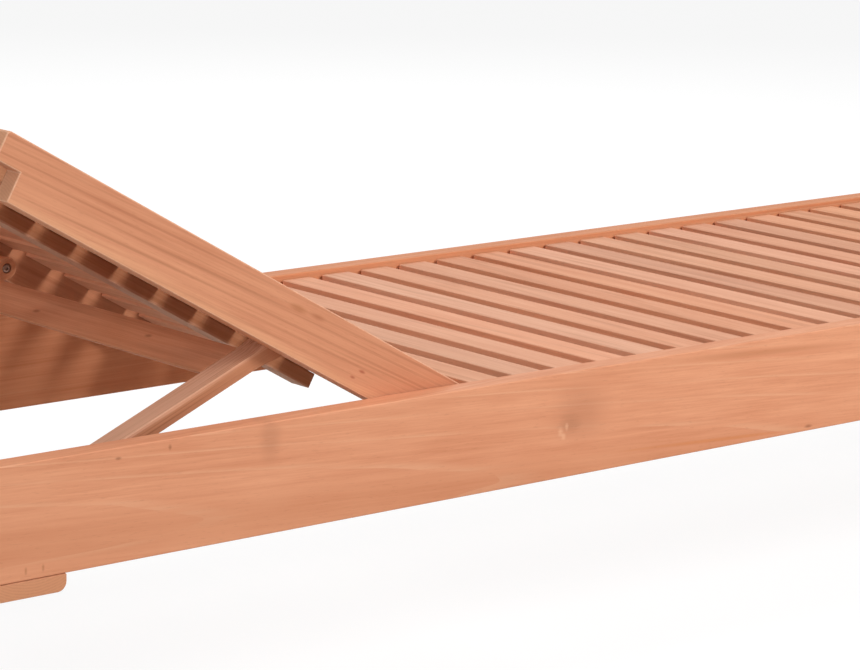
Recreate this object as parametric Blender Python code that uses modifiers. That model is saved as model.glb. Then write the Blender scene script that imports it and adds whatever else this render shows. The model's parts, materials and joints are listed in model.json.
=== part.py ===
# Teak sun lounger with an adjustable slatted backrest, in metres.
# The origin is on the floor under the middle of the side rails. +X runs to the foot end, +Z is up.

import math

import bmesh
import bpy
from mathutils import Matrix

# Clearance between pieces that touch
FIT = 0.0003

# Seat and side rails
LENGTH = 1.9398
BACK_LENGTH = 0.5932
SEAT_HEIGHT = 0.320
SEAT_WIDTH = 0.545
RAIL_THICK = 0.025
RAIL_HEIGHT = 0.106
RAIL_RISE = 0.0055
RAIL_ROUND = 0.0015

# Slats of the seat and the back
SLAT_WIDTH = 0.038
SLAT_THICK = 0.018
SLAT_ROUND = 0.0012
SEAT_SLATS = 23
BACK_SLATS = 11
SEAT_SLAT_END_GAP = 0.0025

# Ledgers under the seat slats, and the flat battens down the middle
LEDGER_WIDTH = 0.020
LEDGER_HEIGHT = 0.022
BATTEN_WIDTH = 0.029
BATTEN_THICK = 0.016
BATTEN_END = 0.0304
BATTEN_SET_BACK = 0.003

# Stiles of the back
STILE_THICK = 0.021
STILE_DEPTH = 0.0563
STILE_GAP = 0.002
STILE_MARGIN = 0.0331
STILE_ROUND = 0.0012
TONGUE_LENGTH = 0.0285
TONGUE_DEPTH = 0.028
TONGUE_ROUND = 0.004
BACK_RAIL_WIDTH = 0.022
HINGE_ROOM = 0.0095
HINGE_GAP = 0.0024
BACK_GAP = 0.0118
BACK_ANGLE = math.radians(29.6)
BACK_ANGLE_MAX = math.radians(60.0)

# Prop: two struts and a cross board
STRUT_LENGTH = 0.320
STRUT_WIDTH = 0.028
STRUT_DEPTH = 0.015
STRUT_GAP = 0.0005
STRUT_ROUND = 0.0008
EAR_RADIUS = 0.0115
EAR_LENGTH = 0.030
PROP_EDGE = 0.0083
CROSS_START = 0.0275
CROSS_WIDTH = 0.0465
CROSS_ARRIS = 0.002
FOOT_CLEARANCE = 0.0098

# Racks for the feet of the prop, which are at one level when the back is flat and at rest
FEET_LEVEL = 0.041
RACK_CLEARANCE = 0.0008
RACK_MARGIN = 0.006
NOTCH_DEPTH = 0.005
NOTCH_RAMP = 0.014
NOTCH_ROOM = 0.0005
RACK_ROUND = 0.001
LOW_NOTCH_ANGLE = math.radians(15.0)
HIGH_NOTCH_ANGLE = math.radians(45.0)

# Head and foot rails, legs and bearers
HEAD_RAIL_THICK = 0.025
HEAD_RAIL_CLEARANCE = 0.0005
TONGUE_CLEARANCE = 0.0015
FOOT_RAIL_THICK = 0.025
FOOT_RAIL_HEIGHT = 0.085
RAIL_OVERHANG = 0.0028
LEG_WIDTH = 0.046
LEG_DEPTH = 0.045
LEG_INSET = 0.002
LEG_CLEARANCE = 0.006
LEG_ROUND = 0.004
BEARER_WIDTH = 0.0865
BEARER_THICK = 0.016
BEARER_ROUND = 0.009
SMALL_ROUND = 0.0008

# Hinge pins, hidden in the wood, and prop bolts, their heads sunk in the struts
HINGE_SHANK_RADIUS = 0.004
HINGE_BITE = 0.016
PROP_SHANK_RADIUS = 0.003
PROP_HEAD_RADIUS = 0.0045
PROP_HEAD_HEIGHT = 0.003
RECESS_RADIUS = 0.0055
RECESS_DEPTH = 0.004
PROP_BITE = 0.014
BOLT_ROUND = 0.001
BOLT_STEPS = 20

# Levels
hinge_depth = RAIL_RISE + SLAT_THICK + HINGE_ROOM
rail_top = SEAT_HEIGHT + RAIL_RISE
rail_bottom = rail_top - RAIL_HEIGHT
hinge_z = rail_top - hinge_depth
slat_bottom = SEAT_HEIGHT - SLAT_THICK
leg_top = rail_top - STILE_DEPTH - LEG_CLEARANCE

# Places along the lounger, first measured from the hinge axis
rail_head = BACK_LENGTH + RAIL_OVERHANG
rail_foot = LENGTH - rail_head
foot_rail_start = rail_foot - FOOT_RAIL_THICK
seat_start = hinge_depth + HINGE_GAP
seat_pitch = (foot_rail_start - seat_start) / SEAT_SLATS
back_start = seat_start - BACK_GAP
back_pitch = (back_start + BACK_LENGTH - STILE_MARGIN - SLAT_WIDTH) / (BACK_SLATS - 1)
stile_shoulder = BACK_LENGTH - TONGUE_LENGTH
head_rail_inner = stile_shoulder + TONGUE_CLEARANCE
leg_inner = rail_head - LEG_INSET - LEG_WIDTH
prop_reach = leg_inner - FOOT_CLEARANCE - STRUT_DEPTH / 2 - STRUT_LENGTH
prop_drop = STILE_DEPTH - hinge_depth - PROP_EDGE

# The same places from the origin, under the middle of the rails
hinge_x = (rail_head - rail_foot) / 2

# Places across the lounger, from the middle line outwards
rail_inner = SEAT_WIDTH / 2
rail_outer = rail_inner + RAIL_THICK
stile_outer = rail_inner - STILE_GAP
stile_inner = stile_outer - STILE_THICK
strut_outer = stile_inner - STRUT_GAP
strut_inner = strut_outer - STRUT_WIDTH

SIDES = (("right", -1), ("left", 1))


def prop_pivot_at(angle):
    # Place of the prop's pivot when the back is raised by the angle
    x = hinge_x - prop_reach * math.cos(angle) - prop_drop * math.sin(angle)
    z = hinge_z + prop_reach * math.sin(angle) - prop_drop * math.cos(angle)
    return x, z


def slope_to_level(angle):
    # Slope of the struts that puts their feet at the level of the racks
    height = prop_pivot_at(angle)[1] - rail_bottom - FEET_LEVEL
    return math.asin(height / STRUT_LENGTH)


# The prop opens in a constant ratio to the back
prop_fold = slope_to_level(0.0)
prop_ratio = 1 + (slope_to_level(BACK_ANGLE) - prop_fold) / BACK_ANGLE


def clear_scene():
    for obj in list(bpy.data.objects):
        bpy.data.objects.remove(obj, do_unlink=True)


def new_collection(name):
    collection = bpy.data.collections.new(name)
    bpy.context.scene.collection.children.link(collection)
    return collection


def srgb(code):
    channels = [int(code[i:i + 2], 16) / 255 for i in (1, 3, 5)]
    linear = [c / 12.92 if c <= 0.04045 else ((c + 0.055) / 1.055) ** 2.4 for c in channels]
    return (*linear, 1.0)


def material(name, code, roughness, metallic=0.0):
    mat = bpy.data.materials.new(name)
    mat.use_nodes = True
    shader = mat.node_tree.nodes["Principled BSDF"]
    shader.inputs["Base Color"].default_value = srgb(code)
    shader.inputs["Roughness"].default_value = roughness
    shader.inputs["Metallic"].default_value = metallic
    return mat


def finish(obj, mat, parent=None):
    obj.data.materials.append(mat)
    obj.parent = parent
    parts.objects.link(obj)
    return obj


def round_edges(obj, width, segments):
    bevel = obj.modifiers.new("rounded_edges", "BEVEL")
    bevel.width = width
    bevel.segments = segments
    bevel.limit_method = "ANGLE"
    bevel.angle_limit = math.radians(40)


def board(name, size, location, mat, radius, segments=2, parent=None):
    # A squared length of timber with its edges eased
    mesh = bpy.data.meshes.new(name)
    bm = bmesh.new()
    bmesh.ops.create_cube(bm, size=1.0)
    bmesh.ops.scale(bm, vec=size, verts=bm.verts)
    bm.to_mesh(mesh)
    bm.free()
    obj = bpy.data.objects.new(name, mesh)
    obj.location = location
    round_edges(obj, radius, segments)
    return finish(obj, mat, parent)


def arc(cx, cz, radius, start, end, steps):
    points = []
    for i in range(steps + 1):
        angle = math.radians(start + (end - start) * i / steps)
        points.append((cx + radius * math.cos(angle), cz + radius * math.sin(angle)))
    return points


def plate(name, outline, thick, location, mat, radius, segments=2, parent=None):
    # A piece sawn to an outline in the XZ plane, with its thickness along Y
    curve = bpy.data.curves.new(name, "CURVE")
    curve.dimensions = "2D"
    curve.fill_mode = "BOTH"
    curve.extrude = thick / 2
    spline = curve.splines.new("POLY")
    spline.points.add(len(outline) - 1)
    for point, (x, z) in zip(spline.points, outline):
        point.co = (x, z, 0.0, 1.0)
    spline.use_cyclic_u = True
    sketch = bpy.data.objects.new(name + "_outline", curve)
    parts.objects.link(sketch)
    depsgraph = bpy.context.evaluated_depsgraph_get()
    mesh = bpy.data.meshes.new_from_object(sketch.evaluated_get(depsgraph))
    bpy.data.objects.remove(sketch, do_unlink=True)
    bpy.data.curves.remove(curve)
    mesh.name = name
    bm = bmesh.new()
    bm.from_mesh(mesh)
    bmesh.ops.remove_doubles(bm, verts=bm.verts, dist=0.00001)
    bmesh.ops.dissolve_limit(bm, angle_limit=math.radians(1), verts=bm.verts, edges=bm.edges)
    bmesh.ops.recalc_face_normals(bm, faces=bm.faces)
    bm.to_mesh(mesh)
    bm.free()
    mesh.transform(Matrix.Rotation(math.pi / 2, 4, "X"))
    obj = bpy.data.objects.new(name, mesh)
    obj.location = location
    if radius > 0:
        round_edges(obj, radius, segments)
    return finish(obj, mat, parent)


def pin_profile(radius, length):
    # Radius and height along the axis, from the inner end outwards
    return [
        (0.0, 0.0),
        (radius - BOLT_ROUND, 0.0),
        (radius, -BOLT_ROUND),
        (radius, BOLT_ROUND - length),
        (radius - BOLT_ROUND, -length),
        (0.0, -length),
    ]


def bolt_profile(head_radius, head_height, shank_radius, shank_length):
    head = [
        (0.0, head_height),
        (head_radius - BOLT_ROUND, head_height),
        (head_radius, head_height - BOLT_ROUND),
        (head_radius, 0.0),
        (shank_radius, 0.0),
    ]
    return head + pin_profile(shank_radius, shank_length)[3:]


def turned(name, profile, location, side, mat, parent=None):
    # A pin or bolt turned about its axis, pointing outwards from the middle line
    mesh = bpy.data.meshes.new(name)
    bm = bmesh.new()
    verts = [bm.verts.new((r, 0.0, z)) for r, z in profile]
    for a, b in zip(verts, verts[1:]):
        bm.edges.new((a, b))
    bm.to_mesh(mesh)
    bm.free()
    obj = bpy.data.objects.new(name, mesh)
    screw = obj.modifiers.new("turned", "SCREW")
    screw.steps = BOLT_STEPS
    screw.render_steps = BOLT_STEPS
    screw.use_merge_vertices = True
    screw.merge_threshold = 0.00001
    screw.use_smooth_shade = True
    obj.location = location
    obj.rotation_euler = (side * math.pi / 2, 0.0, 0.0)
    return finish(obj, mat, parent)


def bore(obj, name, radius, length, location, parent=None):
    # A round hole along Y, centred at the location
    mesh = bpy.data.meshes.new(name)
    bm = bmesh.new()
    round_bar = {"segments": BOLT_STEPS, "radius1": radius, "radius2": radius, "depth": length}
    bmesh.ops.create_cone(bm, cap_ends=True, **round_bar)
    bm.to_mesh(mesh)
    bm.free()
    cutter = bpy.data.objects.new(name, mesh)
    cutter.location = location
    cutter.rotation_euler = (math.pi / 2, 0.0, 0.0)
    cutter.parent = parent
    cutter.hide_render = True
    cutter.display_type = "WIRE"
    cutters.objects.link(cutter)
    cut = obj.modifiers.new(name, "BOOLEAN")
    cut.operation = "DIFFERENCE"
    cut.solver = "EXACT"
    cut.object = cutter


def pivot_empty(name, location, angle, parent=None):
    empty = bpy.data.objects.new(name, None)
    empty.location = location
    empty.rotation_euler = (0.0, angle, 0.0)
    empty.parent = parent
    parts.objects.link(empty)
    return empty


def foot_at(angle):
    # Centre of a strut's foot when the back is raised by the angle
    pivot_x, pivot_z = prop_pivot_at(angle)
    slope = prop_fold + (prop_ratio - 1) * angle
    return pivot_x - STRUT_LENGTH * math.cos(slope), pivot_z - STRUT_LENGTH * math.sin(slope)


def make_rails():
    length = rail_head + rail_foot
    for label, side in SIDES:
        y = side * (rail_inner + RAIL_THICK / 2)
        size = (length, RAIL_THICK, RAIL_HEIGHT)
        rail = board(label + "_rail", size, (0, y, rail_top - RAIL_HEIGHT / 2), rail_teak, RAIL_ROUND)
        depth = HINGE_BITE + FIT
        bore_at = (hinge_x, side * (rail_inner + depth / 2 - FIT), hinge_z)
        bore(rail, label + "_rail_bore", HINGE_SHANK_RADIUS + FIT, depth + 2 * FIT, bore_at)
    width = SEAT_WIDTH - 2 * FIT
    head_top = rail_top - TONGUE_DEPTH - HEAD_RAIL_CLEARANCE
    head_height = head_top - leg_top - FIT
    head_x = hinge_x - head_rail_inner - HEAD_RAIL_THICK / 2
    head_z = head_top - head_height / 2
    board("head_rail", (HEAD_RAIL_THICK, width, head_height), (head_x, 0, head_z), rail_teak, SMALL_ROUND)
    foot_x = hinge_x + foot_rail_start + FOOT_RAIL_THICK / 2
    foot_z = rail_top - FOOT_RAIL_HEIGHT / 2
    board("foot_rail", (FOOT_RAIL_THICK, width, FOOT_RAIL_HEIGHT), (foot_x, 0, foot_z), rail_teak, SLAT_ROUND)


def make_seat():
    support_end = foot_rail_start - FIT
    length = support_end - seat_start
    middle = hinge_x + (seat_start + support_end) / 2
    for label, side in SIDES:
        size = (length, LEDGER_WIDTH, LEDGER_HEIGHT)
        y = side * (rail_inner - FIT - LEDGER_WIDTH / 2)
        z = slat_bottom - FIT - LEDGER_HEIGHT / 2
        board(label + "_ledger", size, (middle, y, z), shaded_teak, SMALL_ROUND, 1)
    batten_z = slat_bottom - FIT - BATTEN_THICK / 2
    size = (length - BATTEN_SET_BACK, BATTEN_WIDTH, BATTEN_THICK)
    batten_x = middle + BATTEN_SET_BACK / 2
    board("seat_batten", size, (batten_x, 0, batten_z), shaded_teak, SMALL_ROUND, 1)
    size = (SLAT_WIDTH, SEAT_WIDTH - 2 * SEAT_SLAT_END_GAP, SLAT_THICK)
    for i in range(SEAT_SLATS):
        x = hinge_x + seat_start + i * seat_pitch + SLAT_WIDTH / 2
        name = f"seat_slat_{i + 1:02d}"
        board(name, size, (x, 0, SEAT_HEIGHT - SLAT_THICK / 2), slat_teak, SLAT_ROUND)


def bearer_outline():
    # Square at the top, well rounded along both lower edges
    half = BEARER_WIDTH / 2
    r = BEARER_ROUND
    outline = [(-half, BEARER_THICK), *arc(r - half, r, r, 180, 270, 5)]
    outline += [*arc(half - r, r, r, 270, 360, 5), (half, BEARER_THICK)]
    return outline


def make_legs():
    foot_leg_top = slat_bottom - LEDGER_HEIGHT - 2 * FIT
    foot_leg_outer = foot_rail_start - FIT
    places = (
        ("head", -leg_inner - LEG_WIDTH / 2, leg_top),
        ("foot", foot_leg_outer - LEG_WIDTH / 2, foot_leg_top),
    )
    for end, x, top in places:
        for label, side in SIDES:
            y = side * (rail_inner - FIT - LEG_DEPTH / 2)
            size = (LEG_WIDTH, LEG_DEPTH, top)
            board(f"{label}_{end}_leg", size, (hinge_x + x, y, top / 2), rail_teak, LEG_ROUND)
    bottom = rail_bottom - FIT - BEARER_THICK
    head_x = hinge_x - leg_inner + FIT + BEARER_WIDTH / 2
    foot_x = hinge_x + foot_leg_outer - LEG_WIDTH - FIT - BEARER_WIDTH / 2
    for end, x in (("head", head_x), ("foot", foot_x)):
        plate(end + "_bearer", bearer_outline(), 2 * rail_outer, (x, 0, bottom), rail_teak, SMALL_ROUND, 1)


def rack_outline():
    # The tops of the teeth follow the path of the feet, and each notch has a steep wall towards the head
    reach = STRUT_DEPTH / 2 + NOTCH_ROOM
    drop = STRUT_DEPTH / 2 + RACK_CLEARANCE
    first_x, first_z = foot_at(0.0)
    head = first_x - STRUT_DEPTH / 2 - RACK_MARGIN
    outline = [(head, rail_bottom), (head, first_z - drop)]
    last_z = rail_bottom
    for angle in (LOW_NOTCH_ANGLE, BACK_ANGLE, HIGH_NOTCH_ANGLE, BACK_ANGLE_MAX):
        x, z = foot_at(angle)
        last_z = z - drop
        outline.append((x - reach, last_z))
        outline.append((x - reach, last_z - NOTCH_DEPTH))
        outline.append((x, last_z - NOTCH_DEPTH))
        outline.append((x + NOTCH_RAMP, last_z))
    foot = outline[-1][0] + RACK_MARGIN
    outline += [(foot, last_z), (foot, rail_bottom)]
    return outline


def make_racks():
    thick = rail_inner - FIT - strut_inner
    for label, side in SIDES:
        y = side * (rail_inner - FIT - thick / 2)
        plate(label + "_rack", rack_outline(), thick, (0, y, 0), shaded_teak, RACK_ROUND, 1)


def stile_outline():
    # Round about the hinge, with a tongue at the head end that lies on the head rail when flat
    low = hinge_depth - STILE_DEPTH
    tongue = hinge_depth - TONGUE_DEPTH
    r = TONGUE_ROUND
    outline = arc(0, 0, -low, -90, 0, 8)
    outline += arc(0, hinge_depth + low, -low, 0, 90, 8)
    outline += arc(r - BACK_LENGTH, hinge_depth - r, r, 90, 180, 5)
    outline += [(-BACK_LENGTH, tongue), (-stile_shoulder, tongue), (-stile_shoulder, low)]
    return outline


def make_back():
    hinge = pivot_empty("backrest_axis", (hinge_x, 0, hinge_z), BACK_ANGLE)
    for label, side in SIDES:
        stile_at = (0, side * (stile_outer - STILE_THICK / 2), 0)
        stile = plate(label + "_stile", stile_outline(), STILE_THICK, stile_at, rail_teak, STILE_ROUND, 2, hinge)
        blind = HINGE_BITE + FIT
        blind_at = (0, side * (stile_outer - blind / 2 + FIT), 0)
        bore(stile, label + "_hinge_bore", HINGE_SHANK_RADIUS + FIT, blind + 2 * FIT, blind_at, hinge)
        pin = pin_profile(HINGE_SHANK_RADIUS, 2 * HINGE_BITE + STILE_GAP)
        pin_at = (hinge_x, side * (stile_outer - HINGE_BITE), hinge_z)
        turned(label + "_hinge_bolt", pin, pin_at, side, steel)
        blind = PROP_BITE + FIT
        blind_at = (-prop_reach, side * (stile_inner + blind / 2 - FIT), -prop_drop)
        bore(stile, label + "_prop_bore", PROP_SHANK_RADIUS + FIT, blind + 2 * FIT, blind_at, hinge)
        seat_y = strut_inner + RECESS_DEPTH - FIT
        shank = stile_inner + PROP_BITE - seat_y
        bolt = bolt_profile(PROP_HEAD_RADIUS, PROP_HEAD_HEIGHT, PROP_SHANK_RADIUS, shank)
        turned(label + "_prop_bolt", bolt, (-prop_reach, side * seat_y, -prop_drop), side, steel, hinge)
    top = hinge_depth - RAIL_RISE
    size = (SLAT_WIDTH, 2 * (stile_inner - FIT), SLAT_THICK)
    for i in range(BACK_SLATS):
        x = back_start - i * back_pitch - SLAT_WIDTH / 2
        name = f"back_slat_{i + 1:02d}"
        board(name, size, (x, 0, top - SLAT_THICK / 2), slat_teak, SLAT_ROUND, 2, hinge)
    batten_top = top - SLAT_THICK - FIT
    middle = batten_top - BATTEN_THICK / 2
    far = BACK_RAIL_WIDTH + FIT - stile_shoulder
    size = (BATTEN_END - far, BATTEN_WIDTH, BATTEN_THICK)
    board("back_batten", size, ((BATTEN_END + far) / 2, 0, middle), shaded_teak, SMALL_ROUND, 2, hinge)
    size = (BACK_RAIL_WIDTH, 2 * (stile_inner - FIT), BATTEN_THICK)
    at = (BACK_RAIL_WIDTH / 2 - stile_shoulder, 0, middle)
    board("back_head_rail", size, at, rail_teak, SMALL_ROUND, 2, hinge)
    return hinge


def strut_outline():
    # A round ear about the pivot runs down to the strut's own depth, and the foot is round
    r = STRUT_DEPTH / 2
    ear = arc(0, 0, EAR_RADIUS, -90, 90, 12)
    foot = arc(-STRUT_LENGTH, 0, r, 90, 270, 10)
    return [*ear, (-EAR_LENGTH, r), *foot, (-EAR_LENGTH, -r)]


def cross_outline():
    # The edge towards the feet is cut under, so only a thin arris is left of it
    top = STRUT_DEPTH / 2
    near = -CROSS_START
    far = near - CROSS_WIDTH
    return [
        (near, top),
        (far, top),
        (far, top - CROSS_ARRIS),
        (far + STRUT_DEPTH - CROSS_ARRIS, -top),
        (near, -top),
    ]


def make_prop(hinge):
    opening = prop_fold + prop_ratio * BACK_ANGLE
    pivot = pivot_empty("prop_axis", (-prop_reach, 0, -prop_drop), -opening, hinge)
    for label, side in SIDES:
        strut_at = (0, side * (strut_outer - STRUT_WIDTH / 2), 0)
        strut = plate(label + "_strut", strut_outline(), STRUT_WIDTH, strut_at, rail_teak, STRUT_ROUND, 2, pivot)
        bore(strut, label + "_strut_bore", PROP_SHANK_RADIUS + FIT, STRUT_WIDTH + 4 * FIT, strut_at, pivot)
        recess_y = side * (strut_inner + RECESS_DEPTH / 2 - FIT)
        bore(strut, label + "_strut_recess", RECESS_RADIUS, RECESS_DEPTH + 2 * FIT, (0, recess_y, 0), pivot)
    thick = 2 * (strut_inner - FIT)
    plate("prop_cross_board", cross_outline(), thick, (0, 0, 0), rail_teak, STRUT_ROUND, 2, pivot)


clear_scene()
parts = new_collection("teak_sun_lounger")
cutters = new_collection("cutters")
rail_teak = material("sanded_teak_rails", "#d9a87c", 0.55)
slat_teak = material("sanded_teak_slats", "#d3a67e", 0.58)
shaded_teak = material("sawn_teak_hidden", "#c79a70", 0.62)
steel = material("dark_steel_bolts", "#4a4745", 0.4, 1.0)
make_rails()
make_seat()
make_legs()
make_racks()
make_prop(make_back())
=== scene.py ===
# %% [markdown]
# # A teak sun lounger, board by board
#
# The CAD model of this lounger is already packed, with its joints: a frame, a backrest that swings on two
# pins, and a prop that holds the backrest up. This lesson dresses it. Every board is made again in the
# place where the CAD model has it, plain ones with finer rounded edges, and gets real-looking teak; then
# come a floor, light and a camera. Loading comes first, because every later step asks the frame where
# things are.

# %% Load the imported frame
import json
import math
import random

import bmesh
import bpy
from mathutils import Matrix, Vector


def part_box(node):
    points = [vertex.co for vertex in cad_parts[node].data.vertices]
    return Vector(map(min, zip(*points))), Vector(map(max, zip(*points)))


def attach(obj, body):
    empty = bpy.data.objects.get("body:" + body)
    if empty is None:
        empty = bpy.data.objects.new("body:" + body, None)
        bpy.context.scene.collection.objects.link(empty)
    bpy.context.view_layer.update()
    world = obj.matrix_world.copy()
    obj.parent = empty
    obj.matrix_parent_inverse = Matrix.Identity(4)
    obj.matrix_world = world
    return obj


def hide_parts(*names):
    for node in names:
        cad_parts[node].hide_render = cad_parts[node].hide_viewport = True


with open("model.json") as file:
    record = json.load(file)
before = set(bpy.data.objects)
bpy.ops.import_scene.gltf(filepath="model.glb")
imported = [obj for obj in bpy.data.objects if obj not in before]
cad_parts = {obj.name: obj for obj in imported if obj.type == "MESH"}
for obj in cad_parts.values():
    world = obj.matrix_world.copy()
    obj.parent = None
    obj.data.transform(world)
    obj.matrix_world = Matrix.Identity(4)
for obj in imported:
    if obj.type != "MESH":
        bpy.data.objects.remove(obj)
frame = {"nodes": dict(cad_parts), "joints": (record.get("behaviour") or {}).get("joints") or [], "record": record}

scene = bpy.context.scene
scene.view_settings.view_transform = "Standard"
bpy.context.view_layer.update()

# %% [markdown]
# Colours are written as they look on a screen, as hex values, but Blender's shaders work in linear light.
# One function turns the first into the second. A second function adds any shader node: it takes the
# settings as a dictionary, and each input either as a plain value or as the socket that feeds it. That
# keeps the materials below short enough to read as recipes.

# %% Two helpers for materials
def linear(hex_colour):
    channels = []
    for start in (1, 3, 5):
        value = int(hex_colour[start:start + 2], 16) / 255
        channels.append(value / 12.92 if value <= 0.04045 else ((value + 0.055) / 1.055) ** 2.4)
    return (*channels, 1.0)


def add_node(tree, kind, settings=None, inputs=None):
    node = tree.nodes.new(kind)
    for name, value in (settings or {}).items():
        setattr(node, name, value)
    for key, value in (inputs or {}).items():
        if isinstance(value, bpy.types.NodeSocket):
            tree.links.new(value, node.inputs[key])
        else:
            node.inputs[key].default_value = value
    return node


print("a pale teak in linear light", [round(v, 3) for v in linear("#dd9b78")])

# %% [markdown]
# Teak is cut from the log as boards, so its pattern is a solid one: growth rings round the heart of the
# log, which a board's faces cut at a slant. Each board below therefore carries a coordinate called grain,
# in metres: along the fibres, across the board and through it, measured from the heart of its own log.
# The material reads only that, so the figure runs along every board, turns the corner onto its edges, and
# moves with the board. Fibres, bands and pores are noise stretched along the grain. Rings are a wave
# round the log's axis, and where the log tapers they come out as arches. A real pore is about 0.3 mm
# wide; it is drawn four times as wide here, because a finer one would not show.

# %% The fibres and growth rings inside a board
FIBRE_LENGTH, FIBRE_WIDTH = 0.110, 0.0020
BAND_LENGTH, BAND_WIDTH = 0.70, 0.008
CLOUD_LENGTH, CLOUD_WIDTH = 0.16, 0.05
PORE_LENGTH, PORE_WIDTH = 0.010, 0.0012
# Blender's wave texture makes this many waves in one unit at a scale of 1
WAVES_PER_UNIT = 20 / (2 * math.pi)
RING_SLOWNESS = 0.06
RING_WOBBLE = 2.2


def along_grain(tree, grain, length, width, detail, roughness):
    fitted = add_node(tree, "ShaderNodeMapping", {}, {
        "Vector": grain, "Scale": (1 / length, 1 / width, 1 / width)})
    noise = add_node(tree, "ShaderNodeTexNoise", {}, {
        "Vector": fitted.outputs["Vector"], "Scale": 1.0, "Detail": detail, "Roughness": roughness})
    return noise.outputs["Fac"]


def growth_rings(tree, grain, spacing, profile):
    flattened = add_node(tree, "ShaderNodeMapping", {}, {
        "Vector": grain, "Scale": (RING_SLOWNESS, 1.0, 1.0)})
    rings = add_node(tree, "ShaderNodeTexWave", {
        "wave_type": "RINGS", "rings_direction": "X", "wave_profile": profile}, {
        "Vector": flattened.outputs["Vector"], "Scale": 1 / (spacing * WAVES_PER_UNIT),
        "Distortion": RING_WOBBLE, "Detail": 2.0, "Detail Scale": 0.9, "Detail Roughness": 0.5})
    return rings.outputs["Fac"]


print("fibres drawn", FIBRE_WIDTH * 1000, "mm wide, pores", PORE_WIDTH * 1000, "mm")

# %% [markdown]
# The colour of sanded teak is a warm pinkish brown of low contrast. What the eye gets is a fine streak
# along every fibre, slow bands of redder and paler wood, and a line where one year's growth meets the
# next. That line is thin and pale on a wide flat-sawn board, and soft and dark on a narrow one, so its
# colour, spacing and strength are given for each finish, and it fades in and out along the board as it
# does in a real plank.

# %% How the figure is coloured
# Blender's noise seldom leaves this range
NOISE_LOW, NOISE_HIGH = 0.3, 0.7
STREAK_SHARE, BAND_SHARE = 0.26, 0.30
CLOUD_LOW, CLOUD_HIGH = 0.30, 0.62
LINE_FADES, LINE_SHOWS = 0.38, 0.62


def blend_figure(tree, grain, fibre, pale, deep, contrast, ring):
    band = along_grain(tree, grain, BAND_LENGTH, BAND_WIDTH, 3.0, 0.55)
    cloud = along_grain(tree, grain, CLOUD_LENGTH, CLOUD_WIDTH, 2.0, 0.5)
    streaks = add_node(tree, "ShaderNodeMapRange", {}, {
        "Value": fibre, "From Min": NOISE_LOW, "From Max": NOISE_HIGH,
        "To Min": -STREAK_SHARE * contrast, "To Max": STREAK_SHARE * contrast})
    bands = add_node(tree, "ShaderNodeMapRange", {}, {
        "Value": band, "From Min": NOISE_LOW, "From Max": NOISE_HIGH,
        "To Min": -BAND_SHARE * contrast, "To Max": BAND_SHARE * contrast})
    clouds = add_node(tree, "ShaderNodeMapRange", {}, {
        "Value": cloud, "From Min": NOISE_LOW, "From Max": NOISE_HIGH,
        "To Min": CLOUD_LOW, "To Max": CLOUD_HIGH})
    summed = add_node(tree, "ShaderNodeMath", {"operation": "ADD"}, {
        0: streaks.outputs["Result"], 1: bands.outputs["Result"]}).outputs["Value"]
    summed = add_node(tree, "ShaderNodeMath", {"operation": "ADD", "use_clamp": True}, {
        0: summed, 1: clouds.outputs["Result"]}).outputs["Value"]
    base = add_node(tree, "ShaderNodeMix", {"data_type": "RGBA"}, {0: summed, 6: pale, 7: deep}).outputs[2]
    year = add_node(tree, "ShaderNodeMapRange", {"interpolation_type": "SMOOTHSTEP"}, {
        "Value": growth_rings(tree, grain, ring["spacing"], ring["profile"]), "From Min": ring["reach"],
        "From Max": 0.02, "To Min": 0.0, "To Max": ring["strength"]}).outputs["Result"]
    fading = add_node(tree, "ShaderNodeMapRange", {"interpolation_type": "SMOOTHSTEP"}, {
        "Value": band, "From Min": LINE_FADES, "From Max": LINE_SHOWS,
        "To Min": 0.05, "To Max": 1.0}).outputs["Result"]
    shown = add_node(tree, "ShaderNodeMath", {"operation": "MULTIPLY"}, {
        0: year, 1: fading}).outputs["Value"]
    return add_node(tree, "ShaderNodeMix", {"data_type": "RGBA"}, {
        0: shown, 6: base, 7: linear(ring["colour"])}).outputs[2]


PALE_LINES = {
    "spacing": 0.012, "profile": "SAW", "reach": 0.18, "strength": 0.33, "colour": "#ecb996"}
SOFT_DARK_LINES = {
    "spacing": 0.0075, "profile": "SIN", "reach": 0.30, "strength": 0.36, "colour": "#ab6c4e"}
print("year lines", PALE_LINES["spacing"] * 1000, "mm apart on rails,",
      SOFT_DARK_LINES["spacing"] * 1000, "on stiles")

# %% [markdown]
# A knot, a fleck or a brown streak belongs to one board and one place. Each is an ellipse in grain
# coordinates, made ragged by the fibres and faded at its rim, which tints the wood below it. A mark is
# written as its place, half its length and half its width in metres, its tint and its strength. Modelling
# marks as geometry would gain nothing, because they were sanded flat with the rest.

# %% Knots and streaks of single boards
MARK_RIM, MARK_CORE = 1.5, 0.6


def add_marks(tree, grain, fibre, colour, marks):
    for place, half_length, half_width, tint, strength in marks:
        offset = add_node(tree, "ShaderNodeVectorMath", {"operation": "SUBTRACT"}, {0: grain, 1: place})
        scaled = add_node(tree, "ShaderNodeVectorMath", {"operation": "MULTIPLY"}, {
            0: offset.outputs["Vector"], 1: (1 / half_length, 1 / half_width, 0.0)})
        reach = add_node(tree, "ShaderNodeVectorMath", {"operation": "LENGTH"}, {
            0: scaled.outputs["Vector"]}).outputs["Value"]
        ragged = add_node(tree, "ShaderNodeMath", {"operation": "ADD"}, {
            0: reach, 1: fibre}).outputs["Value"]
        inside = add_node(tree, "ShaderNodeMapRange", {"interpolation_type": "SMOOTHSTEP"}, {
            "Value": ragged, "From Min": MARK_RIM, "From Max": MARK_CORE,
            "To Min": 0.0, "To Max": strength})
        colour = add_node(tree, "ShaderNodeMix", {"data_type": "RGBA"}, {
            0: inside.outputs["Result"], 6: colour, 7: linear(tint)}).outputs[2]
    return colour


print("marks are tinted ellipses in the grain")

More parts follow.
